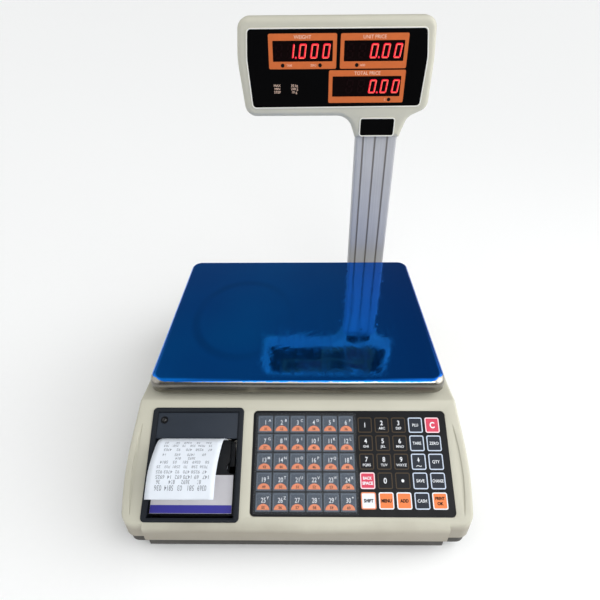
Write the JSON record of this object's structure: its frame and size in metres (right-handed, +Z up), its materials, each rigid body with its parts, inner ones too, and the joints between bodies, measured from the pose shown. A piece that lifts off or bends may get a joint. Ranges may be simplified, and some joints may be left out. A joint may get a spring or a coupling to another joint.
{
  "type": "retail price scale",
  "caption": "Price-computing counter scale with lift-off platter on a load cell, keypad deck, receipt printer and pole display",
  "frame": {"origin": "centre of the footprint box on the counter surface under the feet", "axes": "+X to the operator's right, +Y away from the operator, +Z up"},
  "size_m": [0.3138, 0.366, 0.3939],
  "materials": {
    "tray_dark": "satin moulded",
    "housing_cream": "fine spark-eroded texture",
    "screw_steel": "zinc plated",
    "cast_aluminium": "as cast",
    "rubber_black": "matt",
    "stainless": "pressed and polished",
    "film_blue": "clear blue protective film",
    "vial_glass": "spirit level",
    "circuit_film": "polyester",
    "keypad_black": "printed polyester",
    "clear_film": "clear film",
    "printer_slate": "fine texture",
    "button_black": "polished",
    "ceramic_white": "glazed",
    "card_white": "coated card",
    "gear_white": "acetal",
    "brass_yellow": "turned",
    "motor_steel": "plated",
    "paper_white": "thermal paper",
    "board_green": "solder mask",
    "battery_grey": "moulded case",
    "rocker_red": "polished",
    "pole_aluminium": "anodised extrusion",
    "cable_grey": "cable sheath",
    "lens_black": "polished sheet",
    "led_module": "lit red segments"
  },
  "bodies": {
    "casing": {"base_tray": "tray_dark", "upper_housing": "housing_cream", "housing_screws": "screw_steel", "load_cell": "cast_aluminium", "load_cell_base_bolts": "screw_steel", "overload_screws": "screw_steel", "level_holder": "tray_dark", "level_vial": "vial_glass", "keypad_circuit": "circuit_film", "keypad_overlay": "keypad_black", "film_pocket": "clear_film", "printer_bezel": "printer_slate", "head_cover": "printer_slate", "print_head": "ceramic_white", "door_hinge_pin": "screw_steel", "paper_motor": "motor_steel", "printer_chassis": "printer_slate", "main_board": "board_green", "power_board": "board_green", "battery": "battery_grey", "battery_bracket": "motor_steel", "power_inlet": "button_black", "switch_housing": "button_black", "pole_extrusion": "pole_aluminium", "pole_socket": "housing_cream", "display_cable": "cable_grey", "head_front_shell": "housing_cream", "head_rear_shell": "housing_cream", "front_lens": "lens_black", "rear_lens": "lens_black", "neck_badge": "lens_black", "display_board": "board_green", "led_modules": "led_module", "display_screws": "screw_steel"},
    "platform": {"platform_spider": "cast_aluminium", "platform_pads": "rubber_black", "load_cell_platform_bolts": "screw_steel"},
    "platter": {"platter": "stainless", "platter_film": "film_blue", "platter_locators": "stainless"},
    "printer_door": {"printer_door": "printer_slate", "door_card": "card_white", "receipt_strip": "paper_white"},
    "platen": {"platen_roller": "rubber_black", "platen_shaft": "screw_steel", "platen_gear": "gear_white"},
    "idler": {"idler_gear": "gear_white"},
    "pinion": {"motor_pinion": "brass_yellow"},
    "paper_roll": {"paper_roll": "paper_white"},
    "door_lever": {"door_lever": "printer_slate"},
    "feed_button": {"feed_button": "button_black"},
    "power_rocker": {"power_rocker": "rocker_red"},
    "sole_front_left": {"foot_sole_front_left": "rubber_black"},
    "wheel_front_left": {"foot_wheel_front_left": "tray_dark"},
    "sole_front_right": {"foot_sole_front_right": "rubber_black"},
    "wheel_front_right": {"foot_wheel_front_right": "tray_dark"},
    "sole_rear_left": {"foot_sole_rear_left": "rubber_black"},
    "wheel_rear_left": {"foot_wheel_rear_left": "tray_dark"},
    "sole_rear_right": {"foot_sole_rear_right": "rubber_black"},
    "wheel_rear_right": {"foot_wheel_rear_right": "tray_dark"}
  },
  "joints": [
    {"name": "platform_sag", "type": "slide", "parent": "casing", "child": "platform", "axis": [0, 0, 1], "range_m": [-0.0005, 0], "stiffness_N_per_m": 700000, "deforming": ["load_cell"]},
    {"name": "platter_lift", "type": "slide", "parent": "platform", "child": "platter", "axis": [0, 0, 1], "range_m": [0, 0.06]},
    {"name": "door_open", "type": "hinge", "parent": "casing", "child": "printer_door", "pos_m": [-0.0935, -0.16706, 0.04031], "axis": [1, 0, 0], "range_deg": [0, 85]},
    {"name": "platen_spin", "type": "hinge", "parent": "printer_door", "child": "platen", "pos_m": [-0.0935, -0.11732, 0.06472], "axis": [1, 0, 0], "continuous": true},
    {"name": "idler_spin", "type": "hinge", "parent": "casing", "child": "idler", "pos_m": [-0.058, -0.10985, 0.05229], "axis": [1, 0, 0], "continuous": true},
    {"name": "pinion_spin", "type": "hinge", "parent": "casing", "child": "pinion", "pos_m": [-0.058, -0.0985, 0.06131], "axis": [1, 0, 0], "continuous": true},
    {"name": "roll_spin", "type": "hinge", "parent": "casing", "child": "paper_roll", "pos_m": [-0.0935, -0.13052, 0.03835], "axis": [1, 0, 0], "continuous": true},
    {"name": "lever_lift", "type": "hinge", "parent": "printer_door", "child": "door_lever", "pos_m": [-0.0592, -0.11903, 0.07203], "axis": [-1, 0, 0], "range_deg": [0, 25], "stiffness_Nm_per_rad": 0.02},
    {"name": "feed_press", "type": "slide", "parent": "casing", "child": "feed_button", "axis": [0, 0.515, -0.8572], "range_m": [0, 0.001], "stiffness_N_per_m": 600},
    {"name": "rocker_tip", "type": "hinge", "parent": "casing", "child": "power_rocker", "pos_m": [0.148, 0.0595, 0.0365], "axis": [0, 0, 1], "range_deg": [0, 16]},
    {"name": "foot_drop_front_left", "type": "slide", "parent": "casing", "child": "sole_front_left", "axis": [0, 0, -1], "range_m": [0, 0.005]},
    {"name": "foot_turn_front_left", "type": "hinge", "parent": "sole_front_left", "child": "wheel_front_left", "pos_m": [-0.1335, -0.15, 0.006], "axis": [0, 0, -1], "range_deg": [0, 1441]},
    {"name": "foot_drop_front_right", "type": "slide", "parent": "casing", "child": "sole_front_right", "axis": [0, 0, -1], "range_m": [0, 0.005]},
    {"name": "foot_turn_front_right", "type": "hinge", "parent": "sole_front_right", "child": "wheel_front_right", "pos_m": [0.1335, -0.15, 0.006], "axis": [0, 0, -1], "range_deg": [0, 1441]},
    {"name": "foot_drop_rear_left", "type": "slide", "parent": "casing", "child": "sole_rear_left", "axis": [0, 0, -1], "range_m": [0, 0.005]},
    {"name": "foot_turn_rear_left", "type": "hinge", "parent": "sole_rear_left", "child": "wheel_rear_left", "pos_m": [-0.1335, 0.124, 0.006], "axis": [0, 0, -1], "range_deg": [0, 1441]},
    {"name": "foot_drop_rear_right", "type": "slide", "parent": "casing", "child": "sole_rear_right", "axis": [0, 0, -1], "range_m": [0, 0.005]},
    {"name": "foot_turn_rear_right", "type": "hinge", "parent": "sole_rear_right", "child": "wheel_rear_right", "pos_m": [0.1335, 0.124, 0.006], "axis": [0, 0, -1], "range_deg": [0, 1441]}
  ],
  "couplings": [
    {"joint": "idler_spin", "follows": "platen_spin", "ratio": -0.5},
    {"joint": "pinion_spin", "follows": "platen_spin", "ratio": 1},
    {"joint": "roll_spin", "follows": "platen_spin", "ratio": 0.27778},
    {"joint": "foot_turn_front_left", "follows": "foot_drop_front_left", "rad_per_m": 5026.5},
    {"joint": "foot_turn_front_right", "follows": "foot_drop_front_right", "rad_per_m": 5026.5},
    {"joint": "foot_turn_rear_left", "follows": "foot_drop_rear_left", "rad_per_m": 5026.5},
    {"joint": "foot_turn_rear_right", "follows": "foot_drop_rear_right", "rad_per_m": 5026.5}
  ]
}
